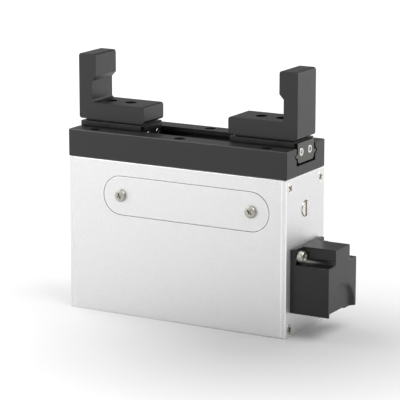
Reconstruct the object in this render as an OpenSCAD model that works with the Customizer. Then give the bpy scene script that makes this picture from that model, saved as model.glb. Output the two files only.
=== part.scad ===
// Two-jaw parallel gripper with a long rail, driven by a left- and right-hand leadscrew.
// X runs along the jaw travel, Y from front to back, Z up.
// The origin is the centre of the mounting holes on the bottom face.

/* [Body] */
// Length of the body along the jaw travel
body_w = 125; // [124:0.5:127]
// Depth of the body, front to back
body_d = 41; // [41:0.5:44]
// Height of the body below the rail
body_h = 79.5; // [79.5:0.5:82]
// Thickness of each end plate
plate_t = 2.5; // [1.5:0.25:2.5]
// Thickness of the front wall
front_wall = 3.5; // [3:0.5:4]
// Thickness of the back wall
back_wall = 5; // [4.5:0.5:5]
// Thickness of the top and bottom walls
deck_t = 8; // [7:0.5:8]

/* [Rail] */
// Height of the rail
rail_h = 14; // [14:0.5:15]
// Half width of the rail's channel
channel_half = 10; // [9.8:0.1:10.2]
// Height of the channel floor above the body
channel_floor = 5.1; // [4.9:0.1:5.5]
// Height of the ball groove's middle above the body
groove_up = 9.95; // [9.8:0.05:10.1]

/* [Jaws] */
// Travel of each jaw, from open to closed
jaw_travel = 24; // [20:1:24]
// Length of each slider
slider_len = 35.4; // [35:0.2:35.6]
// Left end of the right slider
right_slider_x = 25.7; // [25.5:0.1:25.9]
// Left end of the left slider
left_slider_x = -61.1; // [-61.3:0.1:-60.9]
// Half width of the slider's top plate
slider_half = 10.45; // [10.3:0.05:10.6]
// Distance from the middle to each finger's inner end
finger_in = 24.25; // [24.2:0.05:24.8]
// Distance from the middle to each finger's outer face
finger_out = 62.6; // [62.4:0.1:62.8]
// Half depth of the finger
finger_half = 9.7; // [9.5:0.1:10]
// Height of the finger above its seat
finger_h = 33.5; // [31:0.5:36]
// Thickness of the finger's foot
foot_t = 8.55; // [8.4:0.05:9]
// Thickness of the finger's neck
neck_t = 7.7; // [7.4:0.1:8]
// Thickness of the finger's pad
pad_t = 10.1; // [9.8:0.1:10.5]

/* [Drive] */
// Height of the leadscrew's axis
screw_z = 62; // [61.8:0.1:62.2]
// Radius of the leadscrew
screw_r = 4; // [3.8:0.1:4]
// Height of the motor's axis
motor_z = 30; // [30:0.5:31]
// Radius of the motor
motor_r = 14; // [13:0.5:14]
// Distance from the middle to each drive nut
nut_x = 33; // [33:0.1:33.2]
// Number of teeth on each pulley
pulley_teeth = 20; // [18:1:22]

/* [Connector hood] */
// Distance that the hood stands out of the end plate
hood_out = 20.9; // [20:0.1:22]
// Width of the hood
hood_w = 31.2; // [31:0.1:32]
// Bottom of the hood
hood_z0 = 12.3; // [12:0.1:13]
// Top of the hood
hood_z1 = 44.8; // [44.6:0.1:45]
// Distance between the two jackscrews
jack_pitch = 25; // [24.8:0.1:25.2]

/* [Mounting holes] */
// Spacing of the bottom holes along the length
base_pitch_x = 90; // [80:1:92]
// Spacing of the bottom holes across the depth
base_pitch_y = 26; // [22:1:28]
// Spacing of the back holes along the length
back_pitch_x = 76; // [70:1:80]
// Spacing of the back holes up the height
back_pitch_z = 36; // [30:1:40]

/* [Hidden] */

$fn = 48;
aluminium = "gainsboro";
black = "#3c3c3e";
nickel = "#c9bda6";
steel = "slategray";

// Small gaps and overlaps
eps = 0.05;       // cutters run past a face by this much
fit = 0.05;       // radial gap between a screw and its hole, or a shaft and its bore
press = 0.02;     // radial gap of a pressed-in pin or a pressed-on ring
seam = 0.3;       // gap round a cover in its recess

// Body and walls
half_w = body_w / 2;
half_d = body_d / 2;
tube_x = half_w - plate_t;
inner_front = -half_d + front_wall;
inner_back = half_d - back_wall;
inner_top = body_h - deck_t;
rail_top = body_h + rail_h;

// Screws: radii of shank, tapped hole and head
m3_r = 1.5;
m3_tap = 1.55;
m3_flat_head = 2.9;
m3_cap_head = 2.75;
m3_cap_h = 3;
m4_tap = 1.65;
small_r = 1;
small_head = 2;

// End plates
end_screw_y = half_d - 4.3;
end_screw_zs = [4, body_h - 4.6];
end_screw_len = 8;
override_r = 3.8;
override_hole_r = 4.2;
override_x0 = 57;
override_out = 0.4;
override_slot_half = 0.9;
override_slot_deep = 1.5;
jack_z = hood_z1 - 4.1;
hood_y = -0.3;
shell_z = jack_z - 1;
shell_half_z = 3.3;
shell_wide = 8.1;
shell_narrow = 6.9;

// Connector hood and its jackscrews
hood_flange_t = 3;
step_half = 8;
step_drop = 7.7;
arch_r = 14.1;
arch_floor_r = 11.8;
arch_deep = 1.8;
foot_relief = [-11, 6.3];
foot_relief_h = 0.8;
hood_wall = 4;
hood_roof_t = 1.5;
plug_half = 6.4;
cable_r = 4;
jack_head_r = 2.9;
jack_head_h = 3.4;
jack_slot_half = 0.5;
jack_slot_deep = 1;

// Access cover: a slot shape with round ends
cover_r = 10.2;
cover_xs = [-31.5, 43];
cover_t = 2;
cover_boss_r = 4;
window_xs = [-25, 36.5];
window_half = 7.6;

// Rail
rail_screw_xs = [-49.4, 0, 49.4];
rail_screw_y = half_d - 5;
counterbore_r = 2.95;
counterbore_h = 5.5;
groove_depth = 2;

// Slots under the sliders for the nut brackets
neck_half = 3.5;
bracket_half_y = 4;
slot_half_y = 5;
slot_gap = 0.8;

// Slider, measured up from the body
slider_bottom = 6.3;
slider_in = 9.3;
slider_under = 14.6;
slider_plate_top = 16.9;
seat_up = 17.9;
seat_z = body_h + seat_up;
seat_half = 7.6;
seat_inset = 1.5;
end_gap = 0.35;
ball_r = 1.2;
balls_per_row = 9;
ball_pitch = 2.9;

// Slider end plates
ear_half = 10.6;
cap_half = 8.6;
cap_t = 1.6;
cap_out = 1.3;
cap_pocket = 0.3;
cap_zs = [6.2, 16.3];
cap_screw_y = 4.5;
cap_screw_up = 11.54;

// Fingers
finger_round = 1.4;
pad_low = 22.05;
neck_top = 19.5;
foot_hole_in = 13.3;
foot_hole_pitch = 11.5;
foot_bore_h = 6;
dowel_r = 1.5;
dowel_y = 5.6;

// Nut, bracket and its screws
nut_half_x = 6;
nut_half_y = 10;
nut_half_z = 7;
bracket_foot = 2.6;
nut_screw_y = 7.2;

// Drive line along X, from the left end
pulley_x0 = -58.5;
pulley_x1 = -51.5;
bearing_plate_x0 = -50;
bearing_plate_x1 = -45;
block_x0 = 50;
block_x1 = 56;
screw_x0 = -43.5;
screw_x1 = 48.5;
relief_half = 2;
relief_r = 3.2;
journal_r = 2.5;
bearing_r = 5.5;
bearing_w = 4;
shaft_clear_r = 4;
retainer_t = 1;
retainer_r = 9;
retainer_hole_r = 3.4;
retainer_screw_up = 7.2;
motor_len = 50;
rotor_r = 6.5;
encoder_len = 13;
frame_screws_at = [[-47.5, 20], [-47.5, 62], [53, 56], [53, 68]];
pulley_r = pulley_teeth * 2 / PI / 2 - 0.25;
tooth_gap_r = 0.5;
flange_t = 0.8;
flange_rise = 1.9;
belt_t = 1.1;
pilot_r = 7;
motor_screw_circle = 11;

// Controller board
board_x = [24, 50];
board_z = [10, 52];
board_y = 10;
board_t = 1.6;
board_inset = 3;

// ---------- shared shapes ----------

// Box between two corners
module box(low, high) {
    translate(low) cube(high - low);
}

// Rods along each axis
module x_rod(r, x0, x1, y, z, r2 = -1) {
    translate([x0, y, z]) rotate([0, 90, 0]) cylinder(h = x1 - x0, r1 = r, r2 = r2 < 0 ? r : r2);
}

module y_rod(r, y0, y1, x, z) {
    translate([x, y1, z]) rotate([90, 0, 0]) cylinder(h = y1 - y0, r = r);
}

module z_rod(r, z0, z1, x, y) {
    translate([x, y, z0]) cylinder(h = z1 - z0, r = r);
}

// Extrude an outline drawn in Y and Z along X, or one drawn in X and Z along Y
module along_x(x0, x1) {
    translate([x0, 0, 0]) rotate([90, 0, 90]) linear_extrude(x1 - x0) children();
}

module along_y(y0, y1) {
    translate([0, y1, 0]) rotate([90, 0, 0]) linear_extrude(y1 - y0) children();
}

// Point a part made along +Z towards another side
module face_right() { rotate([0, 90, 0]) children(); }
module face_left() { rotate([0, -90, 0]) children(); }
module face_front() { rotate([90, 0, 0]) children(); }
module face_back() { rotate([-90, 0, 0]) children(); }

// Box with a small chamfer on every edge
module chamfered_box(low, high, c) {
    size = high - low;
    translate(low) intersection() {
        linear_extrude(size[2]) chamfered_outline(size[0], size[1], c);
        translate([0, size[1], 0]) rotate([90, 0, 0])
            linear_extrude(size[1]) chamfered_outline(size[0], size[2], c);
        rotate([90, 0, 90]) linear_extrude(size[0]) chamfered_outline(size[1], size[2], c);
    }
}

module chamfered_outline(w, h, c) {
    polygon([[c, 0], [w - c, 0], [w, c], [w, h - c], [w - c, h], [c, h], [0, h - c], [0, c]]);
}

// Slot outline with round ends, between two centres on X
module slot_outline(x0, x1, z, r) {
    for (x = [x0, x1]) translate([x, z]) circle(r = r);
    translate([x0, z - r]) square([x1 - x0, 2 * r]);
}

// Cross recess, cut down from z = 0
module cross_recess(width, depth) {
    arm = width * 0.26;
    translate([-width / 2, -arm / 2, -depth]) cube([width, arm, depth + 1]);
    translate([-arm / 2, -width / 2, -depth]) cube([arm, width, depth + 1]);
}

// Countersunk screw with a cross recess, its top face at z = 0
module flat_screw(head_r, shank_r, len) {
    cone = head_r - shank_r;
    difference() {
        union() {
            translate([0, 0, -cone]) cylinder(h = cone, r1 = shank_r, r2 = head_r);
            translate([0, 0, -len]) cylinder(h = len - cone + eps, r = shank_r);
        }
        cross_recess(head_r * 1.25, cone * 0.7);
    }
}

// Hole for that screw: clearance cone and hole, with the mouth at z = 0
module flat_hole(head_r, shank_r, len) {
    cone = head_r - shank_r;
    translate([0, 0, -cone]) cylinder(h = cone + eps, r1 = shank_r + fit, r2 = head_r + 2 * fit);
    translate([0, 0, -len]) cylinder(h = len, r = shank_r + fit);
}

// Pan-head screw with a cross recess, its seat at z = 0
module pan_screw(head_r, head_h, shank_r, len) {
    difference() {
        union() {
            cylinder(h = head_h * 0.55, r = head_r);
            translate([0, 0, head_h * 0.55 - eps])
                cylinder(h = head_h * 0.45, r1 = head_r, r2 = head_r * 0.7);
            translate([0, 0, -len]) cylinder(h = len + eps, r = shank_r);
        }
        translate([0, 0, head_h]) cross_recess(head_r * 1.25, head_h * 0.7);
    }
}

// Cap screw with a hexagon socket, its seat at z = 0
module cap_screw(head_r, head_h, shank_r, len) {
    difference() {
        union() {
            cylinder(h = head_h, r = head_r);
            translate([0, 0, -len]) cylinder(h = len + eps, r = shank_r);
        }
        translate([0, 0, head_h * 0.45]) cylinder(h = head_h, r = head_r * 0.52, $fn = 6);
    }
}

// ---------- body ----------

// Tube-shaped housing, open at both ends, with a slotted top deck
module housing() {
    color(aluminium) difference() {
        union() {
            difference() {
                chamfered_box([-tube_x, -half_d, 0], [tube_x, half_d, body_h], 0.4);
                box([-tube_x - 1, inner_front, deck_t], [tube_x + 1, inner_back, inner_top]);
            }
            for (x = cover_xs)
                y_rod(cover_boss_r, inner_front - 1, inner_front + 4, x, screw_z);
        }
        along_y(-half_d - 1, -half_d + cover_t)
            slot_outline(cover_xs[0], cover_xs[1], screw_z, cover_r);
        box(
            [window_xs[0], -half_d, screw_z - window_half],
            [window_xs[1], inner_front + 1, screw_z + window_half]
        );
        for (x = cover_xs) y_rod(small_r + fit, -half_d, inner_front + 3, x, screw_z);
        bracket_slots(inner_top - 1, body_h + 1);
        for (x = rail_screw_xs, side = [-1, 1])
            z_rod(m3_tap, body_h - 6.5, body_h + 1, x, side * rail_screw_y);
        for (end = [-1, 1], side = [-1, 1], z = end_screw_zs)
            x_rod(
                m3_tap, min(end * (tube_x - end_screw_len), end * (tube_x + 1)),
                max(end * (tube_x - end_screw_len), end * (tube_x + 1)), side * end_screw_y, z
            );
        for (at = frame_screws_at)
            translate([at[0], half_d, at[1]]) face_back() flat_hole(m3_flat_head, m3_r, back_wall + 1);
        for (x = [-1, 1], y = [-1, 1])
            z_rod(m4_tap, -1, deck_t - 1.5, x * base_pitch_x / 2, y * base_pitch_y / 2);
        for (x = [-1, 1], z = [-1, 1])
            y_rod(
                m4_tap, half_d - back_wall + 1, half_d + 1,
                x * back_pitch_x / 2, body_h / 2 + z * back_pitch_z / 2
            );
    }
}

// Slots that the nut brackets travel in
module bracket_slots(z0, z1) {
    open = nut_x + neck_half + slot_gap;
    closed = nut_x - jaw_travel - neck_half - slot_gap;
    box([closed, -slot_half_y, z0], [open, slot_half_y, z1]);
    box([-open, -slot_half_y, z0], [-closed, slot_half_y, z1]);
}

// Blank end plate with its four countersunk holes, for end = -1 or 1
module end_plate_blank(end) {
    difference() {
        chamfered_box(
            [min(end * tube_x, end * half_w), -half_d, 0],
            [max(end * tube_x, end * half_w), half_d, body_h], 0.4
        );
        at_end_screws(end) flat_hole(m3_flat_head, m3_r, plate_t + 1);
    }
}

// Places for the end-plate screws, pointing outwards
module at_end_screws(end) {
    for (side = [-1, 1], z = end_screw_zs)
        translate([end * half_w, side * end_screw_y, z]) rotate([0, end * 90, 0]) children();
}

module left_end_plate() {
    color(aluminium) end_plate_blank(-1);
}

module right_end_plate() {
    color(aluminium) difference() {
        end_plate_blank(1);
        x_rod(override_hole_r, tube_x - 1, half_w + 1, 0, screw_z);
        along_x(tube_x - 1, half_w + 1) shell_outline(seam);
        at_jackscrews() cylinder(h = 20, r = m3_r + fit, center = true);
    }
}

module left_end_screws() {
    color(nickel) at_end_screws(-1) flat_screw(m3_flat_head, m3_r, plate_t + end_screw_len - 1);
}

module right_end_screws() {
    color(nickel) at_end_screws(1) flat_screw(m3_flat_head, m3_r, plate_t + end_screw_len - 1);
}

// Flush slot-shaped cover over the leadscrew
module access_cover() {
    color(aluminium) difference() {
        along_y(-half_d, -half_d + cover_t)
            slot_outline(cover_xs[0], cover_xs[1], screw_z, cover_r - seam);
        for (x = cover_xs) y_rod(small_r + 2 * fit, -half_d - 1, half_d, x, screw_z);
    }
}

module access_cover_screws() {
    color(nickel) for (x = cover_xs)
        translate([x, -half_d, screw_z]) face_front() pan_screw(3.1, 1.6, small_r, 5.5);
}

// ---------- rail ----------

// Channel outline in Y and Z, with a V groove in each wall for the balls
module channel_outline(top) {
    side = [
        [channel_half, channel_floor], [channel_half, groove_up - groove_depth],
        [channel_half + groove_depth, groove_up], [channel_half, groove_up + groove_depth],
        [channel_half, top]
    ];
    mirrored = [for (i = [len(side) - 1 : -1 : 0]) [-side[i][0], side[i][1]]];
    polygon(concat(side, mirrored));
}

module guide_rail() {
    color(black) translate([0, 0, body_h]) difference() {
        chamfered_box([-half_w, -half_d, 0], [half_w, half_d, rail_h], 0.4);
        along_x(-half_w - 1, half_w + 1) channel_outline(rail_h + 1);
        bracket_slots(-1, channel_floor + 1);
        for (x = rail_screw_xs, side = [-1, 1]) {
            z_rod(m3_r + fit, -1, rail_h, x, side * rail_screw_y);
            z_rod(counterbore_r, rail_h - counterbore_h, rail_h + 1, x, side * rail_screw_y);
        }
    }
}

module rail_screws() {
    color(black) for (x = rail_screw_xs, side = [-1, 1])
        translate([x, side * rail_screw_y, rail_top - counterbore_h])
            cap_screw(m3_cap_head, m3_cap_h, m3_r, rail_h - counterbore_h + 6);
}

// ---------- sliders and fingers ----------

// Lower part of the slider in Y and Z, grooved for the balls
module slider_outline() {
    side = [
        [slider_in - 1, slider_bottom], [slider_in, slider_bottom + 1],
        [slider_in, groove_up - 1.05], [slider_in - 0.9, groove_up],
        [slider_in, groove_up + 1.05], [slider_in, slider_plate_top]
    ];
    mirrored = [for (i = [len(side) - 1 : -1 : 0]) [-side[i][0], side[i][1]]];
    polygon(concat(side, mirrored));
}

// Slider whose left end is at x0, with a finger on its seat at side = -1 or 1
module slider(x0, side) {
    x1 = x0 + slider_len;
    difference() {
        translate([0, 0, body_h]) union() {
            along_x(x0 + end_gap, x1 - end_gap) slider_outline();
            difference() {
                box([x0, -slider_half, slider_under], [x1, slider_half, slider_plate_top]);
                for (x = [x0 - 1, x1 - end_gap])
                    box(
                        [x, -cap_half - cap_pocket, slider_under - 1],
                        [x + end_gap + 1, cap_half + cap_pocket, cap_zs[1] + cap_pocket]
                    );
            }
            box(
                [x0 + seat_inset, -seat_half, slider_plate_top - eps],
                [x1 - seat_inset, seat_half, seat_up]
            );
        }
        for (x = foot_hole_xs(side)) z_rod(m3_tap, seat_z - 7.5, seat_z + 1, x, 0);
        translate([side * nut_x, 0, seat_z]) flat_hole(m3_flat_head, m3_r, 30);
        for (y = [-1, 1]) z_rod(dowel_r + press, seat_z - 3.5, seat_z + 1, dowel_x(side), y * dowel_y);
        at_cap_screws(x0) translate([0, 0, -9]) cylinder(h = 9, r = small_r + fit);
    }
}

function foot_hole_xs(side) =
    [for (i = [0, 1]) side * (finger_out - foot_hole_in - i * foot_hole_pitch)];
function dowel_x(side) = side * (finger_out - foot_hole_in - foot_hole_pitch / 2);

// Places for the end-plate screws of the slider whose left end is at x0
module at_cap_screws(x0) {
    for (y = [-cap_screw_y, cap_screw_y]) {
        translate([x0 + slider_len + cap_out, y, body_h + cap_screw_up]) face_right() children();
        translate([x0 - cap_out, y, body_h + cap_screw_up]) face_left() children();
    }
}

// End-plate outline in Y and Z, with an ear in each ball groove
module cap_outline() {
    side = [
        [cap_half - 1.2, cap_zs[0]], [cap_half, cap_zs[0] + 1.2],
        [cap_half, groove_up - 1.3], [ear_half, groove_up - 0.5],
        [ear_half, groove_up + 0.5], [cap_half, groove_up + 1.3], [cap_half, cap_zs[1]]
    ];
    mirrored = [for (i = [len(side) - 1 : -1 : 0]) [-side[i][0], side[i][1]]];
    polygon(concat(side, mirrored));
}

module slider_end_plates(x0) {
    difference() {
        translate([0, 0, body_h])
            for (x = [x0 - cap_out, x0 + slider_len + cap_out - cap_t])
                along_x(x, x + cap_t) cap_outline();
        at_cap_screws(x0) flat_hole(small_head, small_r, 3);
    }
}

module slider_screws(x0) {
    at_cap_screws(x0) flat_screw(small_head, small_r, 7);
}

// One row of balls in each groove
module slider_balls(x0) {
    first = x0 + slider_len / 2 - (balls_per_row - 1) / 2 * ball_pitch;
    for (i = [0 : balls_per_row - 1], side = [-1, 1])
        translate([first + i * ball_pitch, side * channel_half, body_h + groove_up]) sphere(r = ball_r);
}

// Finger outline in X and Z: a foot, a neck and a thicker pad
module finger_outline() {
    r = finger_round;
    neck_x = finger_out - neck_t;
    pad_x = finger_out - pad_t;
    difference() {
        polygon([
            [finger_in + r, 0], [finger_out - r, 0], [finger_out, r],
            [finger_out, finger_h - r], [finger_out - r, finger_h],
            [pad_x + r, finger_h], [pad_x, finger_h - r], [pad_x, pad_low],
            [neck_x, neck_top], [neck_x, foot_t + r], [neck_x - r, foot_t],
            [finger_in + r, foot_t], [finger_in, foot_t - r], [finger_in, r]
        ]);
        translate([neck_x - r, foot_t + r]) circle(r = r);
    }
    for (p = [
        [finger_in + r, r], [finger_out - r, r], [finger_out - r, finger_h - r],
        [pad_x + r, finger_h - r], [finger_in + r, foot_t - r]
    ]) translate(p) circle(r = r);
}

module finger(side) {
    difference() {
        translate([0, 0, seat_z]) mirror([side < 0 ? 1 : 0, 0, 0])
            along_y(-finger_half, finger_half) finger_outline();
        for (x = foot_hole_xs(side)) {
            z_rod(m3_r + 0.2, seat_z - 1, seat_z + foot_t, x, 0);
            z_rod(3.1, seat_z + foot_t - foot_bore_h, seat_z + foot_t + 1, x, 0);
        }
        for (y = [-1, 1]) z_rod(dowel_r + press, seat_z - 1, seat_z + 3, dowel_x(side), y * dowel_y);
    }
}

module finger_screws(side) {
    for (x = foot_hole_xs(side))
        translate([x, 0, seat_z + foot_t - foot_bore_h]) cap_screw(m3_cap_head, m3_cap_h, m3_r, 10);
}

module finger_dowels(side) {
    for (y = [-1, 1]) z_rod(dowel_r, seat_z - 3, seat_z + 2.6, dowel_x(side), y * dowel_y);
}

// Drive nut on the leadscrew
module drive_nut(side) {
    difference() {
        translate([side * nut_x, 0, screw_z])
            box([-nut_half_x, -nut_half_y, -nut_half_z], [nut_half_x, nut_half_y, nut_half_z - 1]);
        x_rod(screw_r + 0.08, side * nut_x - 10, side * nut_x + 10, 0, screw_z);
        at_nut_screws(side) translate([0, 0, -8]) cylinder(h = 8, r = small_r + fit);
    }
}

// Places for the screws that hold the bracket on the nut
module at_nut_screws(side) {
    for (y = [-1, 1])
        translate([side * nut_x, y * nut_screw_y, screw_z + nut_half_z - 1 + bracket_foot]) children();
}

// Bracket that reaches from the nut up through the rail to the slider
module nut_bracket(side) {
    foot_z = screw_z + nut_half_z - 1;
    difference() {
        translate([side * nut_x, 0, 0]) union() {
            box([-nut_half_x, -nut_half_y, foot_z], [nut_half_x, nut_half_y, foot_z + bracket_foot]);
            box(
                [-neck_half, -bracket_half_y, foot_z],
                [neck_half, bracket_half_y, body_h + slider_bottom]
            );
        }
        at_nut_screws(side) flat_hole(small_head, small_r, 6);
        z_rod(m3_r + fit, body_h, seat_z, side * nut_x, 0);
    }
}

module nut_screws(side) {
    at_nut_screws(side) flat_screw(small_head, small_r, 7);
}

module bracket_screw(side) {
    translate([side * nut_x, 0, seat_z]) flat_screw(m3_flat_head, m3_r, seat_z - body_h - 1);
}

module left_slider() { color(black) slider(left_slider_x, -1); }
module right_slider() { color(black) slider(right_slider_x, 1); }
module left_slider_end_plates() { color("gray") slider_end_plates(left_slider_x); }
module right_slider_end_plates() { color("gray") slider_end_plates(right_slider_x); }
module left_slider_screws() { color("white") slider_screws(left_slider_x); }
module right_slider_screws() { color("white") slider_screws(right_slider_x); }
module left_slider_balls() { color("silver") slider_balls(left_slider_x); }
module right_slider_balls() { color("silver") slider_balls(right_slider_x); }
module left_finger() { color(black) finger(-1); }
module right_finger() { color(black) finger(1); }
module left_finger_screws() { color(black) finger_screws(-1); }
module right_finger_screws() { color(black) finger_screws(1); }
module left_finger_dowels() { color("silver") finger_dowels(-1); }
module right_finger_dowels() { color("silver") finger_dowels(1); }
module left_nut() { color("goldenrod") drive_nut(-1); }
module right_nut() { color("goldenrod") drive_nut(1); }
module left_nut_bracket() { color(steel) nut_bracket(-1); }
module right_nut_bracket() { color(steel) nut_bracket(1); }
module left_nut_screws() { color("silver") nut_screws(-1); }
module right_nut_screws() { color("silver") nut_screws(1); }
module left_bracket_screw() { color("silver") bracket_screw(-1); }
module right_bracket_screw() { color("silver") bracket_screw(1); }

// ---------- drive ----------

// Inner plate that holds the motor and the left bearing
module bearing_plate() {
    color(steel) difference() {
        box([bearing_plate_x0, inner_front + 0.5, deck_t], [bearing_plate_x1, inner_back, inner_top]);
        x_rod(bearing_r + fit, bearing_plate_x1 - bearing_w, bearing_plate_x1 + 1, 0, screw_z);
        x_rod(shaft_clear_r, bearing_plate_x0 - 1, bearing_plate_x1, 0, screw_z);
        x_rod(pilot_r + fit, bearing_plate_x0 - 1, bearing_plate_x1 + 1, 0, motor_z);
        at_motor_screws() flat_hole(m3_flat_head, m3_r, 8);
        at_frame_screws() cylinder(h = 30, r = m3_tap, center = true);
        at_retainer_screws() cylinder(h = 8, r = small_r + fit, center = true);
    }
}

// Block that holds the right bearing
module bearing_block() {
    color(steel) difference() {
        box([block_x0, -nut_half_y, 52], [block_x1, inner_back, inner_top]);
        x_rod(bearing_r + fit, block_x0 - 1, block_x0 + bearing_w, 0, screw_z);
        x_rod(shaft_clear_r, block_x0, block_x1 + 1, 0, screw_z);
        at_frame_screws() cylinder(h = 20, r = m3_tap, center = true);
        at_retainer_screws() cylinder(h = 8, r = small_r + fit, center = true);
    }
}

// Places for the screws that come in through the back wall
module at_frame_screws() {
    for (at = frame_screws_at) translate([at[0], half_d, at[1]]) face_back() children();
}

module frame_screws() {
    color(nickel) at_frame_screws() flat_screw(m3_flat_head, m3_r, back_wall + 3.5);
}

// A closed ball bearing at each end of the leadscrew
module screw_bearings() {
    color("silver") for (x = [bearing_plate_x1 - bearing_w, block_x0]) difference() {
        x_rod(bearing_r, x, x + bearing_w, 0, screw_z);
        x_rod(journal_r + press, x - 1, x + bearing_w + 1, 0, screw_z);
    }
}

// Ring in front of each bearing
module bearing_retainers() {
    color(steel) difference() {
        for (x = [bearing_plate_x1, block_x0 - retainer_t])
            x_rod(retainer_r, x, x + retainer_t, 0, screw_z);
        x_rod(retainer_hole_r, -half_w, half_w, 0, screw_z);
        at_retainer_screws() cylinder(h = 8, r = small_r + fit, center = true);
    }
}

// Places for the retainer screws, two on each ring
module at_retainer_screws() {
    for (z = [-retainer_screw_up, retainer_screw_up]) {
        translate([bearing_plate_x1 + retainer_t, 0, screw_z + z]) face_right() children();
        translate([block_x0 - retainer_t, 0, screw_z + z]) face_left() children();
    }
}

module retainer_screws() {
    color("silver") at_retainer_screws() cap_screw(1.6, 1, small_r, 3.5);
}

// Leadscrew: a threaded stretch between two journals, relieved in the middle
module leadscrew() {
    color("silver") {
        x_rod(screw_r, screw_x0, -relief_half, 0, screw_z);
        x_rod(relief_r, -relief_half - eps, relief_half + eps, 0, screw_z);
        x_rod(screw_r, relief_half, screw_x1, 0, screw_z);
        x_rod(journal_r, pulley_x0, screw_x0 + eps, 0, screw_z);
        x_rod(journal_r, screw_x1 - eps, screw_x1 + 10, 0, screw_z);
    }
}

// Slotted end of the leadscrew, reached through the right end plate
module override_screw() {
    color(nickel) difference() {
        x_rod(override_r, override_x0, half_w + override_out, 0, screw_z);
        x_rod(journal_r + press, override_x0 - 1, screw_x1 + 10.1, 0, screw_z);
        box(
            [half_w + override_out - override_slot_deep, -override_slot_half, screw_z - 5],
            [half_w + 1, override_slot_half, screw_z + 5]
        );
    }
}

// Toothed outline of a pulley, with its bore
module tooth_outline() {
    difference() {
        circle(r = pulley_r);
        for (i = [0 : pulley_teeth - 1])
            rotate((i + 0.5) * 360 / pulley_teeth) translate([pulley_r, 0]) circle(r = tooth_gap_r);
        circle(r = journal_r + press);
    }
}

// Toothed pulley with two flanges, on a shaft at height z
module pulley(z) {
    translate([0, 0, z]) along_x(pulley_x0 + flange_t, pulley_x1 - flange_t) tooth_outline();
    for (x = [pulley_x0, pulley_x1 - flange_t]) difference() {
        x_rod(pulley_r + flange_rise, x, x + flange_t, 0, z);
        x_rod(journal_r + press, x - 1, x + flange_t + 1, 0, z);
    }
}

module driven_pulley() { color("lightgray") pulley(screw_z); }
module motor_pulley() { color("lightgray") pulley(motor_z); }

// Belt round both pulleys
module timing_belt() {
    inner = pulley_r + 0.1;
    color("#252525") along_x(pulley_x0 + flange_t + 0.2, pulley_x1 - flange_t - 0.2) difference() {
        belt_outline(inner + belt_t);
        belt_outline(inner);
    }
}

module belt_outline(r) {
    for (z = [motor_z, screw_z]) translate([0, z]) circle(r = r);
    translate([-r, motor_z]) square([2 * r, screw_z - motor_z]);
}

// Motor can with a pilot boss, hollow for the rotor
module motor_body() {
    color("#303236") difference() {
        union() {
            x_rod(motor_r, bearing_plate_x1, bearing_plate_x1 + motor_len, 0, motor_z);
            x_rod(pilot_r, bearing_plate_x1 - 1.5, bearing_plate_x1 + 1, 0, motor_z);
        }
        x_rod(rotor_r + 0.5, bearing_plate_x1 + 5, bearing_plate_x1 + motor_len - 5, 0, motor_z);
        x_rod(journal_r + fit, bearing_plate_x1 - 3, bearing_plate_x1 + 8, 0, motor_z);
        x_rod(journal_r + fit, bearing_plate_x1 + motor_len - 6, 10, 0, motor_z);
        at_motor_screws() cylinder(h = 20, r = m3_tap, center = true);
    }
}

// Places for the motor screws, in the outer face of the bearing plate
module at_motor_screws() {
    for (a = [45 : 90 : 315])
        translate([
            bearing_plate_x0, motor_screw_circle * cos(a), motor_z + motor_screw_circle * sin(a)
        ]) face_left() children();
}

module motor_screws() {
    color("silver") at_motor_screws() flat_screw(m3_flat_head, m3_r, 9);
}

module motor_encoder() {
    x0 = bearing_plate_x1 + motor_len;
    color("#1f3a2c") difference() {
        x_rod(motor_r - 1, x0, x0 + encoder_len, 0, motor_z);
        x_rod(journal_r + fit, x0 - 1, x0 + 4, 0, motor_z);
    }
}

module motor_rotor() {
    x0 = bearing_plate_x1;
    color("silver") {
        x_rod(journal_r, pulley_x0, x0 + motor_len + 3, 0, motor_z);
        x_rod(rotor_r, x0 + 5.5, x0 + motor_len - 5.5, 0, motor_z);
    }
}

// ---------- controller ----------

// Places for the board's screws, on its front face
module at_board_screws() {
    for (x = [board_x[0] + board_inset, board_x[1] - board_inset])
        for (z = [board_z[0] + board_inset, board_z[1] - board_inset])
            translate([x, board_y - board_t / 2, z]) face_front() children();
}

module controller_board() {
    color("darkgreen") difference() {
        box([board_x[0], board_y - board_t / 2, board_z[0]], [board_x[1], board_y + board_t / 2, board_z[1]]);
        at_board_screws() cylinder(h = 9, r = small_r + fit, center = true);
    }
}

// Chips, two capacitors and a plug header on the board's front
module board_components() {
    y1 = board_y - board_t / 2;
    color("#2b2b2b") {
        box([30, y1 - 1.6, 28], [40, y1, 38]);
        box([30, y1 - 1.2, 18], [36, y1, 23]);
        for (z = [17, 24]) y_rod(3, y1 - 9, y1, 43, z);
        box([41, y1 - 6, 32], [48, y1, 42]);
    }
}

module board_standoffs() {
    color("goldenrod") at_board_screws() translate([0, 0, -board_t])
        difference() {
            translate([0, 0, board_y + board_t / 2 - inner_back])
                cylinder(h = inner_back - board_y - board_t / 2, r = 2.2, $fn = 6);
            translate([0, 0, -6]) cylinder(h = 7, r = small_r + fit);
        }
}

module board_screws() {
    color("silver") at_board_screws() cap_screw(1.9, 1.2, small_r, board_t + 3);
}

// ---------- connector ----------

// Places for the two jackscrews, pointing outwards from the end plate
module at_jackscrews() {
    for (y = [-1, 1]) translate([half_w, hood_y + y * jack_pitch / 2, jack_z]) face_right() children();
}

// Trapezoid shell outline in Y and Z, about the connector's middle
module shell_outline(grow) {
    up = shell_half_z + grow;
    translate([hood_y, shell_z]) polygon([
        [-shell_wide - grow, up], [-shell_narrow - grow, -up],
        [shell_narrow + grow, -up], [shell_wide + grow, up]
    ]);
}

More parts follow.
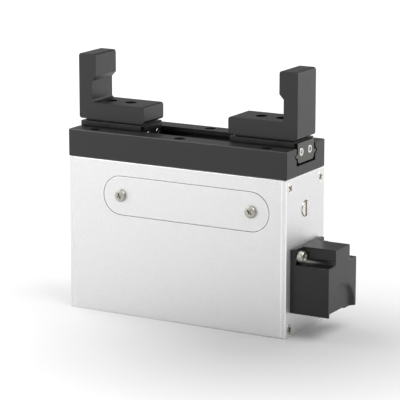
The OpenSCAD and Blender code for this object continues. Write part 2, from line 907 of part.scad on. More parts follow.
module connector_receptacle() {
    color("silver") difference() {
        union() {
            box([tube_x - 1.2, hood_y - 15.4, jack_z - 6.2], [tube_x, hood_y + 15.4, jack_z + 6.2]);
            along_x(tube_x - 8, half_w + 1.8) shell_outline(0);
        }
        along_x(half_w - 3, half_w + 3) shell_outline(-0.6);
        at_jackscrews() cylinder(h = 20, r = m3_r + fit, center = true);
    }
}

// Right-angle hood: a flange on the end plate, a stepped body and an arched recess
module connector_hood() {
    flange_x = half_w + hood_flange_t;
    outer_x = half_w + hood_out;
    half = hood_w / 2;
    step_z = hood_z1 - step_drop;
    arch_z = hood_z0 + foot_relief_h;
    roof_z = hood_z1 - hood_roof_t;
    color(black) difference() {
        translate([0, hood_y, 0]) difference() {
            box([half_w, -half, hood_z0], [outer_x, half, hood_z1]);
            for (side = [-1, 1])
                box(
                    [flange_x, min(side * step_half, side * 20), step_z],
                    [outer_x + 1, max(side * step_half, side * 20), hood_z1 + 1]
                );
            x_rod(arch_floor_r, outer_x - arch_deep, outer_x + eps, 0, arch_z, arch_r);
            box([flange_x + 1, foot_relief[0], hood_z0 - 1], [outer_x + 1, foot_relief[1], arch_z]);
            box([half_w - 1, -shell_wide - 0.9, step_z - 2], [half_w + 2, shell_wide + 0.9, roof_z]);
            box([half_w - 1, -plug_half, hood_z0 + hood_wall], [outer_x - hood_wall, plug_half, roof_z]);
            box([half_w - 1, -13, hood_z0 + hood_wall], [outer_x - hood_wall, 13, step_z - 2]);
            z_rod(cable_r, hood_z0 - 1, hood_z0 + hood_wall + 1, (half_w + outer_x) / 2 - 1, 0);
        }
        at_jackscrews() cylinder(h = 20, r = m3_r + fit, center = true);
    }
}

// Insulator block of the plug, inside the hood
module connector_plug() {
    color("#222222") translate([half_w, hood_y, 0])
        box([2.2, -plug_half, jack_z - 6], [12, plug_half, jack_z + 1.8]);
}

// Jackscrew with a slotted head, outside the hood's flange
module jackscrews() {
    color(nickel) at_jackscrews() translate([0, 0, hood_flange_t]) difference() {
        union() {
            cylinder(h = jack_head_h, r = jack_head_r);
            translate([0, 0, -9]) cylinder(h = 9 + eps, r = m3_r);
        }
        translate([-jack_slot_half, -4, jack_head_h - jack_slot_deep])
            cube([2 * jack_slot_half, 8, 2]);
    }
}

module jackscrew_nuts() {
    color("silver") at_jackscrews() translate([0, 0, -plate_t - 1.2 - 2.4]) difference() {
        cylinder(h = 2.4, r = 3, $fn = 6);
        translate([0, 0, -1]) cylinder(h = 5, r = m3_r + fit);
    }
}

housing();
left_end_plate();
right_end_plate();
left_end_screws();
right_end_screws();
access_cover();
access_cover_screws();
guide_rail();
rail_screws();
bearing_plate();
bearing_block();
frame_screws();
screw_bearings();
bearing_retainers();
retainer_screws();
motor_body();
motor_encoder();
motor_screws();
timing_belt();
controller_board();
board_components();
board_standoffs();
board_screws();
connector_receptacle();
connector_hood();
connector_plug();
jackscrews();
jackscrew_nuts();
leadscrew();
driven_pulley();
override_screw();
motor_rotor();
motor_pulley();
left_slider();
left_slider_end_plates();
left_slider_screws();
left_slider_balls();
left_finger();
left_finger_screws();
left_finger_dowels();
left_nut();
left_nut_bracket();
left_nut_screws();
left_bracket_screw();
right_slider();
right_slider_end_plates();
right_slider_screws();
right_slider_balls();
right_finger();
right_finger_screws();
right_finger_dowels();
right_nut();
right_nut_bracket();
right_nut_screws();
right_bracket_screw();
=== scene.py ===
"""Looks of the two-jaw parallel gripper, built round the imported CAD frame.

Metres, with X along the jaws' travel and Z up."""

import math

import bmesh
import bpy
from mathutils import Matrix, Vector


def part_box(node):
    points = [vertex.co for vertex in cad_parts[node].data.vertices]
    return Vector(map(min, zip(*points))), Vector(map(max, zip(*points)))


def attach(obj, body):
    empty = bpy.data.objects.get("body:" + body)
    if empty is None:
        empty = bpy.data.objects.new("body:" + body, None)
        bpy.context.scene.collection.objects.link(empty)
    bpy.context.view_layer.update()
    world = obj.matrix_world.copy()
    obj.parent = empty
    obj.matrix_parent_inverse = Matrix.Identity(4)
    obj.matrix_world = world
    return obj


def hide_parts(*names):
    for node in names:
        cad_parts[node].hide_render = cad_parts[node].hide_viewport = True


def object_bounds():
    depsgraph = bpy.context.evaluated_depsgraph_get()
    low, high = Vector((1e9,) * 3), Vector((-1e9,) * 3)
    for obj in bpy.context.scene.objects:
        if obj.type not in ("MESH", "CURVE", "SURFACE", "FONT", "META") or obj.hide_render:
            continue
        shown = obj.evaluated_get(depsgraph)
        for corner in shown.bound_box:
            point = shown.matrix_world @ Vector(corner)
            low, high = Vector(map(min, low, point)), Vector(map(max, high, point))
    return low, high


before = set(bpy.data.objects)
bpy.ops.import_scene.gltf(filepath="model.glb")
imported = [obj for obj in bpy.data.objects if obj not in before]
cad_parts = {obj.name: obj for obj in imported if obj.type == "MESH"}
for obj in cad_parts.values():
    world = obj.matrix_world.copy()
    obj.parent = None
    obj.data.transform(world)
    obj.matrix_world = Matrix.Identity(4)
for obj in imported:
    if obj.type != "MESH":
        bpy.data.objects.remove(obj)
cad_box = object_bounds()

MM = 0.001
X, Y, Z = Vector((1, 0, 0)), Vector((0, 1, 0)), Vector((0, 0, 1))

# Reading and shading the meshes
WELD = 2e-6  # points this close are one
FLAT = math.radians(0.4)  # faces that turn less than this are one flat face
SHARP = math.radians(25)  # edges that turn more than this get a round
SMOOTH = math.radians(40)  # edges that turn less than this are shaded smooth
WIDEST = 3.0  # widest round, in mm
GRAIN_DEPTH = 0.03 * MM

# Screws
SLOT_DEEP = 1.5 * MM
COVER_HEAD = 1.6 * MM
FIRST_TURN, NEXT_TURN = 0.4, 0.55  # how a node's screws are turned, so that their crosses don't line up

# Camera
AZIMUTH = math.radians(29.678)
ELEVATION = math.radians(12.656)
AIM = Vector((5.4, -4.6, 60.7)) * MM
DISTANCE = 1.1084
LENS = 198.5
SENSOR = 36.0

# Floor
FLOOR_Z = cad_box[0].z - 0.05 * MM
FLOOR_RADIUS = 6.0
PAINTED_SHADE_CENTRE = Vector((0.05, -0.035, 0))  # centre of the floor's painted shadow, where its painted glow is weakest

# Lights. Each softbox has a name, azimuth, elevation, distance, size and brightness, and faces LIT_POINT.
LIT_POINT = Vector((0, 0, 0.05))
WORLD_STRENGTH = 0.05
SOFTBOXES = (
    ("right_high", 25, 48, 1.5, 0.9, 3.4),
    ("back_right", 70, 12, 1.5, 0.9, 1.7),
    ("back_low", 112, 18, 1.5, 0.9, 0.28),
    ("back_left", 150, 25, 1.5, 0.9, 2.2),
    ("left_side", 170, 10, 1.0, 0.6, 1.5),
    ("left_high", 185, 50, 0.8, 0.5, 4.0),
    ("left_low", 200, 15, 0.8, 0.5, 1.8),
    ("front_left", 235, 24, 0.8, 0.5, 2.5),
    ("front_right", 340, 55, 1.2, 0.8, 6.2),
)


# ---------- materials ----------

class Nodes:
    """Short ways to make and join shader nodes."""

    def __init__(self, name):
        self.mat = bpy.data.materials.new(name)
        self.mat.use_nodes = True
        self.tree = self.mat.node_tree
        self.shader = self.tree.nodes["Principled BSDF"]
        self.place = self.add("ShaderNodeTexCoord")

    def add(self, kind, **values):
        """New node of a kind, with its properties set."""
        node = self.tree.nodes.new(kind)
        for key, value in values.items():
            setattr(node, key, value)
        return node

    def join(self, out, into):
        """Links an output to an input."""
        self.tree.links.new(out, into)

    def noise(self, scale, detail=3.0, stretch=None):
        """Noise in object space; scale is in features per metre."""
        node = self.add("ShaderNodeTexNoise")
        node.inputs["Scale"].default_value = scale
        node.inputs["Detail"].default_value = detail
        place = self.place.outputs["Object"]
        if stretch:
            mapping = self.add("ShaderNodeMapping")
            mapping.inputs["Scale"].default_value = stretch
            self.join(place, mapping.inputs["Vector"])
            place = mapping.outputs["Vector"]
        self.join(place, node.inputs["Vector"])
        return node.outputs["Fac"]

    def spread(self, value, low, high, start=0.3, end=0.7):
        """Maps a value from the range start to end, which suits a noise, onto the range low to high."""
        node = self.add("ShaderNodeMapRange")
        node.inputs["From Min"].default_value = start
        node.inputs["From Max"].default_value = end
        node.inputs["To Min"].default_value = low
        node.inputs["To Max"].default_value = high
        self.join(value, node.inputs["Value"])
        return node.outputs["Result"]

    def blend(self, factor, first, second):
        """Colour between first and second, each of which is a colour or an output."""
        node = self.add("ShaderNodeMix", data_type="RGBA")
        for socket, colour in (("A", first), ("B", second)):
            into = [s for s in node.inputs if s.name == socket and s.type == "RGBA"][0]
            if isinstance(colour, tuple):
                into.default_value = (*colour, 1.0)
            else:
                self.join(colour, into)
        self.join(factor, node.inputs[0])
        return [s for s in node.outputs if s.type == "RGBA"][0]

    def maths(self, operation, first, second):
        """Result of a sum on two values, each of which is a number or an output."""
        node = self.add("ShaderNodeMath", operation=operation)
        for socket, value in zip(node.inputs, (first, second)):
            if isinstance(value, float):
                socket.default_value = value
            else:
                self.join(value, socket)
        return node.outputs[0]

    def bump(self, height, strength):
        """Fine surface relief from a height value."""
        node = self.add("ShaderNodeBump")
        node.inputs["Strength"].default_value = strength
        node.inputs["Distance"].default_value = GRAIN_DEPTH
        self.join(height, node.inputs["Height"])
        self.join(node.outputs["Normal"], self.shader.inputs["Normal"])

    def edge_highlight_mask(self):
        """1 on chamfers and rounds, whose normals point along no axis, and 0 on the flat faces. It places the
        painted edge highlight.
        """
        parts = self.add("ShaderNodeSeparateXYZ")
        self.join(self.place.outputs["Normal"], parts.inputs[0])
        sizes = [self.maths("ABSOLUTE", out, 0.0) for out in parts.outputs]
        longest = self.maths("MAXIMUM", self.maths("MAXIMUM", sizes[0], sizes[1]), sizes[2])
        return self.spread(longest, 1.0, 0.0, 0.9, 0.985)


def tint(colour, factor):
    """Lighter or darker colour."""
    return tuple(min(1.0, c * factor) for c in colour)


def finish_of(name, colour, rough, metal, mottle, mottle_scale, grain=0.0, grain_scale=3500,
              edge=None, edge_rough=None, specular=0.5, stretch=None, speckle=0.0):
    """Material whose colour, roughness and surface vary.

    mottle is the broad change of colour and speckle the fine one. grain is the strength of the bump.
    edge is the colour of chamfers and rounds, a painted highlight lighter than the face colour. Scales are in
    features per metre."""
    n = Nodes(name)
    broad = n.noise(mottle_scale, 4.0, stretch)
    look = n.blend(n.spread(broad, 0.0, 1.0), tint(colour, 1 - mottle), tint(colour, 1 + mottle))
    if speckle:
        fine = n.spread(n.noise(1500, 2.0, stretch), 1 - speckle, 1 + speckle)
        scaled = n.add("ShaderNodeVectorMath", operation="SCALE")
        n.join(look, scaled.inputs[0])
        n.join(fine, scaled.inputs["Scale"])
        look = scaled.outputs[0]
    rough_now = n.spread(broad, rough * 0.93, rough * 1.07)
    # Painted highlight: chamfers and rounds take the lighter edge colour.
    if edge:
        mask = n.edge_highlight_mask()
        look = n.blend(mask, look, edge)
        if edge_rough:
            node = n.add("ShaderNodeMix", data_type="FLOAT")
            node.inputs[3].default_value = edge_rough
            n.join(rough_now, node.inputs[2])
            n.join(mask, node.inputs[0])
            rough_now = node.outputs[0]
    n.join(look, n.shader.inputs["Base Color"])
    n.join(rough_now, n.shader.inputs["Roughness"])
    n.shader.inputs["Metallic"].default_value = metal
    n.shader.inputs["Specular IOR Level"].default_value = specular
    if grain:
        n.bump(n.noise(grain_scale, 2.0, stretch), grain)
    return n.mat


def end_plate_finish():
    """Grey metal on the two faces across the travel, and black on the sides."""
    n = Nodes("end_plate_grey")
    parts = n.add("ShaderNodeSeparateXYZ")
    n.join(n.place.outputs["Normal"], parts.inputs[0])
    face = n.spread(n.maths("ABSOLUTE", parts.outputs[0], 0.0), 0.0, 1.0, 0.6, 0.9)
    broad = n.spread(n.noise(700, 3.0), 0.0, 1.0)
    grey = n.blend(broad, (0.085, 0.085, 0.077), (0.095, 0.095, 0.087))
    n.join(n.blend(face, (0.004, 0.004, 0.004), grey), n.shader.inputs["Base Color"])
    n.join(face, n.shader.inputs["Metallic"])
    n.join(n.spread(broad, 0.28, 0.33, 0.0, 1.0), n.shader.inputs["Roughness"])
    n.shader.inputs["Specular IOR Level"].default_value = 0.4
    n.bump(n.noise(5000, 2.0), 0.15)
    return n.mat


# The edge colours below are painted highlights on chamfers and rounds.
MATERIALS = {
    "silver_anodised": finish_of(
        "silver_anodised", (0.76, 0.76, 0.762), 0.5, 0.9, 0.012, 260, 0.3, 2600,
        edge=(0.97, 0.97, 0.975), edge_rough=0.3, speckle=0.035),
    "rail_black": finish_of(
        "rail_black", (0.008, 0.008, 0.0082), 0.42, 0.0, 0.12, 500, 0.2, 4200,
        edge=(0.012, 0.012, 0.0122)),
    "slider_black": finish_of(
        "slider_black", (0.004, 0.004, 0.0041), 0.35, 0.0, 0.12, 500, 0.15, 4200,
        edge=(0.02, 0.02, 0.021)),
    "finger_black": finish_of(
        "finger_black", (0.007, 0.007, 0.0072), 0.38, 0.0, 0.12, 500, 0.25, 4200,
        edge=(0.009, 0.009, 0.0092)),
    "nickel_screw": finish_of(
        "nickel_screw", (0.74, 0.71, 0.66), 0.26, 1.0, 0.05, 900, 0.1, 5000),
    "dull_nickel": finish_of(
        "dull_nickel", (0.44, 0.43, 0.39), 0.42, 1.0, 0.06, 900, 0.2, 4000),
    "white_screw": finish_of(
        "white_screw", (0.66, 0.66, 0.65), 0.22, 1.0, 0.03, 900, 0.1, 5000),
    "black_screw": finish_of(
        "black_screw", (0.003, 0.003, 0.0031), 0.5, 0.0, 0.1, 900, 0.1, 5000, specular=0.3),
    "bright_steel": finish_of(
        "bright_steel", (0.6, 0.61, 0.62), 0.25, 1.0, 0.05, 600, 0.15, 3000, stretch=(1, 8, 8)),
    "pulley_aluminium": finish_of(
        "pulley_aluminium", (0.7, 0.7, 0.71), 0.35, 1.0, 0.04, 600, 0.15, 3000),
    "end_plate_grey": end_plate_finish(),
    "motor_black": finish_of(
        "motor_black", (0.03, 0.031, 0.033), 0.4, 0.2, 0.1, 400, 0.1, 4000),
    "encoder_plastic": finish_of(
        "encoder_plastic", (0.02, 0.06, 0.04), 0.5, 0.0, 0.1, 400, 0.2, 4000),
    "belt_rubber": finish_of(
        "belt_rubber", (0.02, 0.02, 0.02), 0.8, 0.0, 0.15, 800, 0.4, 3000),
    "board_green": finish_of(
        "board_green", (0.01, 0.12, 0.04), 0.35, 0.0, 0.12, 300, 0.1, 2500),
    "component_black": finish_of(
        "component_black", (0.015, 0.015, 0.016), 0.5, 0.0, 0.1, 900, 0.2, 4000),
    "brass": finish_of(
        "brass", (0.72, 0.5, 0.2), 0.3, 1.0, 0.06, 500, 0.15, 3000),
    "connector_shell": finish_of(
        "connector_shell", (0.68, 0.66, 0.6), 0.3, 1.0, 0.05, 600, 0.1, 4000),
    "hood_plastic": finish_of(
        "hood_plastic", (0.003, 0.003, 0.0031), 0.33, 0.0, 0.1, 450, specular=0.46),
}


# ---------- reading the frame ----------

def cad_copy(node):
    """The CAD node's mesh as a bmesh, welded."""
    mesh = bmesh.new()
    mesh.from_mesh(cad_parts[node].data)
    bmesh.ops.remove_doubles(mesh, verts=mesh.verts, dist=WELD)
    return mesh


def solids(node):
    """(low, high) of each separate solid in a CAD node, ordered by place."""
    mesh = cad_copy(node)
    boxes, seen = [], set()
    for first in mesh.verts:
        if first in seen:
            continue
        seen.add(first)
        group, waiting = [], [first]
        while waiting:
            vert = waiting.pop()
            group.append(vert.co.copy())
            for edge in vert.link_edges:
                other = edge.other_vert(vert)
                if other not in seen:
                    seen.add(other)
                    waiting.append(other)
        boxes.append((
            Vector([min(p[i] for p in group) for i in range(3)]),
            Vector([max(p[i] for p in group) for i in range(3)])))
    mesh.free()
    return sorted(boxes, key=lambda box: tuple(round(v, 6) for v in box[0]))


def heads(node, ways):
    """For each screw in a node: (outermost point of its axis, the way it faces, radius, length), in metres.

    ways lists the directions that its screws may face. The right one is away from the middle of the node."""
    low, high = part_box(node)
    middle = (low + high) / 2
    places = []
    for a, b in solids(node):
        centre, half = (a + b) / 2, (b - a) / 2
        way = max(ways, key=lambda w: (centre - middle).dot(w) if len(ways) > 1 else 0)
        reach = abs(half.dot(way))
        across = [half[i] for i in range(3) if abs(way[i]) < 0.5]
        places.append((centre + way * reach, way, max(across), 2 * reach))
    return places


# ---------- shapes ----------

def publish(mesh, node, body, material):
    """Turns a bmesh into a piece that rides on a body and stands for a CAD node."""
    bmesh.ops.recalc_face_normals(mesh, faces=mesh.faces)
    name = node + "_detail"
    data = bpy.data.meshes.new(name)
    mesh.to_mesh(data)
    mesh.free()
    piece = bpy.data.objects.new(name, data)
    bpy.context.scene.collection.objects.link(piece)
    data.materials.append(MATERIALS[material])
    data.polygons.foreach_set("use_smooth", [True] * len(data.polygons))
    data.set_sharp_from_angle(angle=SMOOTH)
    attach(piece, body)
    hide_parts(node)
    return piece


def lathe(profile, steps=48):
    """Round solid from (radius, height) points, turned about Z."""
    mesh = bmesh.new()
    rings = []
    for radius, height in profile:
        if radius < 1e-9:
            rings.append([mesh.verts.new((0, 0, height))])
            continue
        ring = []
        for i in range(steps):
            angle = 2 * math.pi * i / steps
            ring.append(mesh.verts.new((radius * math.cos(angle), radius * math.sin(angle), height)))
        rings.append(ring)
    for a, b in zip(rings, rings[1:]):
        for i in range(steps):
            j = (i + 1) % steps
            corners = [a[i % len(a)], a[j % len(a)], b[j % len(b)], b[i % len(b)]]
            unique = list(dict.fromkeys(corners))
            if len(unique) > 2:
                mesh.faces.new(unique)
    return mesh


def cross_cutter(span, depth):
    """Tapered cross that is about span wide at z = 0 and starts a little above it."""
    top, bottom = (0.3 * depth, 1.08, 0.3), (-depth, 0.62, 0.2)  # height, then arm length and width over span
    mesh = bmesh.new()
    for turn in (0, math.pi / 2):
        rows = []
        for z, long, wide in (top, bottom):
            a, b = span / 2 * long, span / 2 * wide
            rows.append([mesh.verts.new((x, y, z)) for x, y in ((-a, -b), (a, -b), (a, b), (-a, b))])
        mesh.faces.new(rows[0])
        mesh.faces.new(rows[1][::-1])
        for i in range(4):
            j = (i + 1) % 4
            mesh.faces.new((rows[0][i], rows[1][i], rows[1][j], rows[0][j]))
        bmesh.ops.rotate(
            mesh, verts=rows[0] + rows[1], cent=(0, 0, 0), matrix=Matrix.Rotation(turn, 3, "Z"))
    bmesh.ops.recalc_face_normals(mesh, faces=mesh.faces)
    return mesh


def cut(mesh, cutter):
    """mesh less cutter, as a new bmesh. Both are freed."""
    obs = []
    for source in (mesh, cutter):
        data = bpy.data.meshes.new("cut")
        source.to_mesh(data)
        source.free()
        obs.append(bpy.data.objects.new("cut", data))
        bpy.context.scene.collection.objects.link(obs[-1])
    boolean = obs[0].modifiers.new("cut", "BOOLEAN")
    boolean.object = obs[1]
    boolean.operation = "DIFFERENCE"
    boolean.solver = "EXACT"
    boolean.use_self = True
    result = bmesh.new()
    result.from_object(obs[0], bpy.context.evaluated_depsgraph_get())
    for ob in obs:
        data = ob.data
        bpy.data.objects.remove(ob)
        bpy.data.meshes.remove(data)
    return result


def put(into, part, point, way, turn=0.0):
    """Adds a copy of part to into, with its Z along way and its origin at point."""
    data = bpy.data.meshes.new("part")
    part.to_mesh(data)
    facing = way.to_track_quat("Z", "Y").to_matrix().to_4x4()
    data.transform(Matrix.Translation(point) @ facing @ Matrix.Rotation(turn, 4, "Z"))
    into.from_mesh(data)
    bpy.data.meshes.remove(data)


def flat_head(r, length):
    """Countersunk screw with a cross recess. Its top face is at z = 0."""
    shank = r * 0.52
    cone = r - shank
    land, soft, point = r * 0.05, r * 0.04, r * 0.15
    body = lathe([
        (0, -length), (shank - point, -length), (shank, point - length), (shank, -cone), (r, -land),
        (r, -soft), (r - soft, 0), (r * 0.7, 0), (0, 0)])
    return cut(body, cross_cutter(r * 1.25, r * 0.9))


def pan_head(r, length, high):
    """Low-domed head with a cross recess. The top of its dome is at z = 0."""
    shank = r * 0.33
    angles = [math.radians(degrees) for degrees in range(6, 90, 12)]
    dome = [(r * 0.94 * math.cos(a) ** 0.35, -high * 0.3 * (1 - math.sin(a))) for a in angles]
    body = lathe([
        (0, -length), (shank * 0.8, -length), (shank, shank * 0.2 - length), (shank, -high),
        (r * 0.97, -high), (r, -high * 0.95), (r, -high * 0.4), *dome, (0, 0)])
    return cut(body, cross_cutter(r, high * 0.6))


def slot_cutter(wide, deep, reach):
    """Box for a screwdriver slot that is cut down from z = 0. It goes reach to each side."""
    mesh = bmesh.new()
    bmesh.ops.create_cube(mesh, size=1)
    bmesh.ops.scale(mesh, verts=mesh.verts, vec=(wide, 2 * reach, 2 * deep))
    return mesh


def jackscrew(r, length):
    """Smooth round head with a dished, slotted end, and a shank below. The end's rim is at z = 0."""
    high, shank, dish = 3.4 * MM, 1.5 * MM, 0.3
    body = lathe([
        (0, -length), (shank * 0.8, -length), (shank, -length + shank * 0.3), (shank, -high),
        (r * 0.88, -high), (r * 0.94, -high * 0.94), (r, -high * 0.84), (r, -high * 0.22),
        (r * 0.98, -high * 0.08), (r * 0.9, 0), (r * 0.78, 0), (r * 0.7, -high * dish), (0, -high * dish)])
    return cut(body, slot_cutter(1 * MM, SLOT_DEEP, 4 * MM))


def slotted_end(r, length):
    """Slotted drive end with a bore in its back. Its face is at z = 0."""
    bore, bore_deep, soft = 2.52 * MM, 1.6 * MM, 0.25 * MM
    bore_z = -(length - bore_deep)
    body = lathe([
        (0, bore_z), (bore, bore_z), (bore, -length), (r - soft, -length), (r, soft - length),
        (r, -soft), (r - soft * 0.3, -soft * 0.3), (r - soft, 0), (0, 0)], steps=64)
    return cut(body, slot_cutter(1.8 * MM, SLOT_DEEP, 1.2 * r))


def screws(node, body, material, ways, make, turn=FIRST_TURN):
    """Piece for all the screws of one CAD node."""
    together = bmesh.new()
    for i, (point, way, radius, length) in enumerate(heads(node, ways)):
        part = make(radius, length)
        put(together, part, point, way, turn + i * NEXT_TURN)
        part.free()
    publish(together, node, body, material)


def even_normals(ob):
    """Keeps flat faces evenly shaded beside their rounds."""
    ob.modifiers.new("normals", "WEIGHTED_NORMAL").keep_sharp = True


def soften(node, width):
    """Small rounds, width mm wide, on every sharp edge of a CAD node, by modifiers only."""
    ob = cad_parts[node]
    weld = ob.modifiers.new("weld", "WELD")
    weld.merge_threshold = WELD
    whole = ob.modifiers.new("whole", "DECIMATE")
    whole.decimate_type = "DISSOLVE"
    whole.angle_limit = FLAT
    bevel = ob.modifiers.new("rounds", "BEVEL")
    bevel.width = width * MM
    bevel.segments = 2
    bevel.limit_method = "ANGLE"
    bevel.angle_limit = SHARP
    bevel.miter_outer = "MITER_ARC"
    even_normals(ob)


def rounded(node, rule, body, material, segments=4, clamp=True):
    """Piece made from a CAD node's shape with soft edges. rule(middle, along) gives an edge's round in mm."""
    mesh = cad_copy(node)
    bmesh.ops.dissolve_limit(mesh, angle_limit=FLAT, verts=mesh.verts, edges=mesh.edges, delimit=set())
    weight = mesh.edges.layers.float.new("bevel_weight_edge")
    for edge in mesh.edges:
        if edge.is_manifold and edge.calc_face_angle() > SHARP:
            a, b = (vert.co for vert in edge.verts)
            edge[weight] = rule((a + b) / 2, (b - a).normalized()) / WIDEST
    piece = publish(mesh, node, body, material)
    bevel = piece.modifiers.new("rounds", "BEVEL")
    bevel.width = WIDEST * MM
    bevel.segments = segments
    bevel.limit_method = "WEIGHT"
    bevel.use_clamp_overlap = clamp
    even_normals(piece)


# ---------- finishes on the CAD nodes ----------

SLOT_OF = {
    "silver_anodised": ["housing", "left_end_plate", "right_end_plate", "access_cover"],
    "rail_black": ["guide_rail"],
    "slider_black": ["left_slider", "right_slider"],
    "finger_black": ["left_finger", "right_finger"],
    "nickel_screw": [
        "left_end_screws", "right_end_screws", "access_cover_screws", "frame_screws", "override_screw",
        "jackscrews"],
    "white_screw": ["left_slider_screws", "right_slider_screws"],
    "black_screw": ["rail_screws", "left_finger_screws", "right_finger_screws"],
    "bright_steel": [
        "bearing_plate", "bearing_block", "screw_bearings", "bearing_retainers", "retainer_screws",
        "motor_screws", "board_screws", "jackscrew_nuts", "leadscrew", "motor_rotor",
        *[side + part for side in ("left_", "right_")
          for part in ("slider_balls", "finger_dowels", "nut_bracket", "nut_screws", "bracket_screw")]],
    "pulley_aluminium": ["driven_pulley", "motor_pulley"],
    "end_plate_grey": ["left_slider_end_plates", "right_slider_end_plates"],
    "motor_black": ["motor_body"],
    "encoder_plastic": ["motor_encoder"],
    "belt_rubber": ["timing_belt"],
    "board_green": ["controller_board"],
    "component_black": ["board_components", "connector_plug"],
    "brass": ["left_nut", "right_nut", "board_standoffs"],
    "connector_shell": ["connector_receptacle"],
    "hood_plastic": ["connector_hood"],
}
for slot, members in SLOT_OF.items():
    for member in members:
        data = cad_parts[member].data
        data.materials.clear()
        data.materials.append(MATERIALS[slot])

# Each round's width is in mm.
for node, width in (
        ("housing", 0.12), ("left_end_plate", 0.12), ("right_end_plate", 0.12), ("access_cover", 0.12),
        ("guide_rail", 0.06), ("left_slider_end_plates", 0.1), ("right_slider_end_plates", 0.1),
        ("rail_screws", 0.12), ("left_finger_screws", 0.12), ("right_finger_screws", 0.12)):
    soften(node, width)


# ---------- pieces ----------

def finger_rule(node):
    """Wide rounds on the outline and on the edges across it, and fine ones below and at the screw holes."""
    low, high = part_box(node)
    touch = 0.1 * MM

    def rule(middle, along):
        if middle.z - low.z < touch:
            return 0.3
        if min(middle.y - low.y, high.y - middle.y) < touch:
            return 1.4
        return 1.1 if abs(along.y) > 0.9 else 0.12
    return rule


def hood_rule():
    """Wide rounds at the foot of each notch and on the top edge at the plate, fine ones outside.

    The arched recess and the other edges at the plate stay sharp."""
    low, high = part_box("connector_hood")
    touch = 0.2 * MM

    def rule(middle, along):
        side = min(middle.y - low.y, high.y - middle.y)
        drop = high.z - middle.z
        behind, ahead = middle.x - low.x, high.x - middle.x
        if abs(along.x) > 0.9 and side > touch and 6 * MM < drop < 9 * MM:
            return 2.6
        if abs(along.y) > 0.9 and behind < touch and drop < touch:
            return 1.4
        outside = ahead < touch or side < touch or drop < touch
        arch = ahead < 3 * MM and drop > 10 * MM and side > 0.5 * MM
        return 0.45 if outside and not arch and behind > touch else 0.0
    return rule


for side in ("left", "right"):
    jaw = side + "_jaw"
    rounded(side + "_finger", finger_rule(side + "_finger"), jaw, "finger_black")
    rounded(side + "_slider", lambda middle, along: 0.15, jaw, "slider_black", 3)
    screws(side + "_slider_screws", jaw, "white_screw", (X, -X), flat_head)

rounded("connector_hood", hood_rule(), "body", "hood_plastic", clamp=False)

screws("left_end_screws", "body", "nickel_screw", (-X,), flat_head)
screws("right_end_screws", "body", "nickel_screw", (X,), flat_head)
screws("frame_screws", "body", "nickel_screw", (Y,), flat_head)
screws("jackscrews", "body", "dull_nickel", (X,), jackscrew, 0.0)
screws("override_screw", "screw_shaft", "nickel_screw", (X,), slotted_end, 0.0)
screws(
    "access_cover_screws", "body", "dull_nickel", (-Y,),
    lambda radius, length: pan_head(radius, length, COVER_HEAD))


# ---------- stage, lights and camera ----------

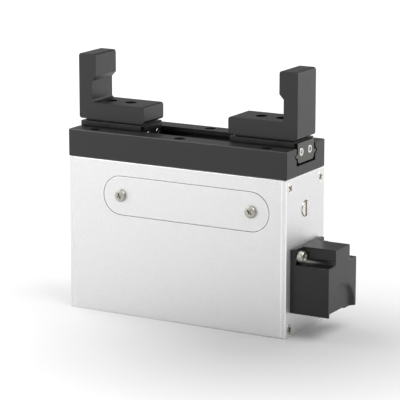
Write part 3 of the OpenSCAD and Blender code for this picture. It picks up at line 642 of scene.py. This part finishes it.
def floor_material():
    """Pale floor with a painted shadow and a painted glow. Its colour is darker close to one point by the
    object, and it glows, though it is no lamp, a little at that point and more with distance.

    Each pair of distances from PAINTED_SHADE_CENTRE, in metres, is where a change starts and where it ends."""
    n = Nodes("floor")
    distance = n.add("ShaderNodeVectorMath", operation="DISTANCE")
    n.join(n.place.outputs["Object"], distance.inputs[0])
    distance.inputs[1].default_value = PAINTED_SHADE_CENTRE
    # Painted shadow: the floor's colour darkens towards 0.3 within about 0.1 m of the point.
    away = n.spread(distance.outputs["Value"], 0.0, 1.0, 0.01, 0.11)
    pale = n.blend(n.spread(n.noise(6, 2.0), 0.0, 1.0), (0.41, 0.41, 0.41), (0.43, 0.43, 0.43))
    n.join(n.blend(away, (0.3, 0.3, 0.3), pale), n.shader.inputs["Base Color"])
    n.shader.inputs["Emission Color"].default_value = (1, 1, 1, 1)
    # Painted glow: the floor gives off light, though it is no lamp, least at the point and more with
    # distance.
    near = n.spread(distance.outputs["Value"], 0.12, 0.42, 0.015, 0.16)
    far = n.spread(distance.outputs["Value"], 0.0, 0.4, 0.16, 1.1)
    n.join(n.maths("ADD", near, far), n.shader.inputs["Emission Strength"])
    n.shader.inputs["Roughness"].default_value = 0.7
    n.shader.inputs["Specular IOR Level"].default_value = 0.2
    return n.mat


def make_floor():
    """Round floor just under the object."""
    mesh = bmesh.new()
    bmesh.ops.create_circle(mesh, cap_ends=True, segments=96, radius=FLOOR_RADIUS)
    data = bpy.data.meshes.new("floor")
    mesh.to_mesh(data)
    mesh.free()
    floor = bpy.data.objects.new("floor", data)
    floor.location.z = FLOOR_Z
    data.materials.append(floor_material())
    bpy.context.scene.collection.objects.link(floor)


def softbox(name, azimuth, elevation, distance, size, brightness):
    """Square light that faces LIT_POINT. azimuth is measured from +X towards +Y, in degrees."""
    a, e = math.radians(azimuth), math.radians(elevation)
    way = Vector((math.cos(a) * math.cos(e), math.sin(a) * math.cos(e), math.sin(e)))
    light = bpy.data.lights.new(name, "AREA")
    light.shape = "SQUARE"
    light.size = size
    light.energy = brightness * math.pi * size * size
    ob = bpy.data.objects.new(name, light)
    ob.location = LIT_POINT + way * distance
    ob.rotation_euler = (-way).to_track_quat("-Z", "Y").to_euler()
    bpy.context.scene.collection.objects.link(ob)


def make_world():
    """Faint even light from all round."""
    world = bpy.data.worlds.new("studio")
    world.use_nodes = True
    background = world.node_tree.nodes["Background"]
    background.inputs["Color"].default_value = (1, 1, 1, 1)
    background.inputs["Strength"].default_value = WORLD_STRENGTH
    bpy.context.scene.world = world


def make_camera():
    """Camera that looks at AIM. AZIMUTH is measured from -Y towards +X."""
    data = bpy.data.cameras.new("camera")
    data.lens, data.sensor_width = LENS, SENSOR
    data.clip_start, data.clip_end = 0.05, 50
    level = math.cos(ELEVATION)
    back = Vector((math.sin(AZIMUTH) * level, -math.cos(AZIMUTH) * level, math.sin(ELEVATION)))
    camera = bpy.data.objects.new("camera", data)
    camera.location = AIM + back * DISTANCE
    camera.rotation_euler = (-back).to_track_quat("-Z", "Y").to_euler()
    bpy.context.scene.collection.objects.link(camera)
    bpy.context.scene.camera = camera


make_floor()
make_world()
for box in SOFTBOXES:
    softbox(*box)
make_camera()
bpy.context.scene.view_settings.view_transform = "Standard"
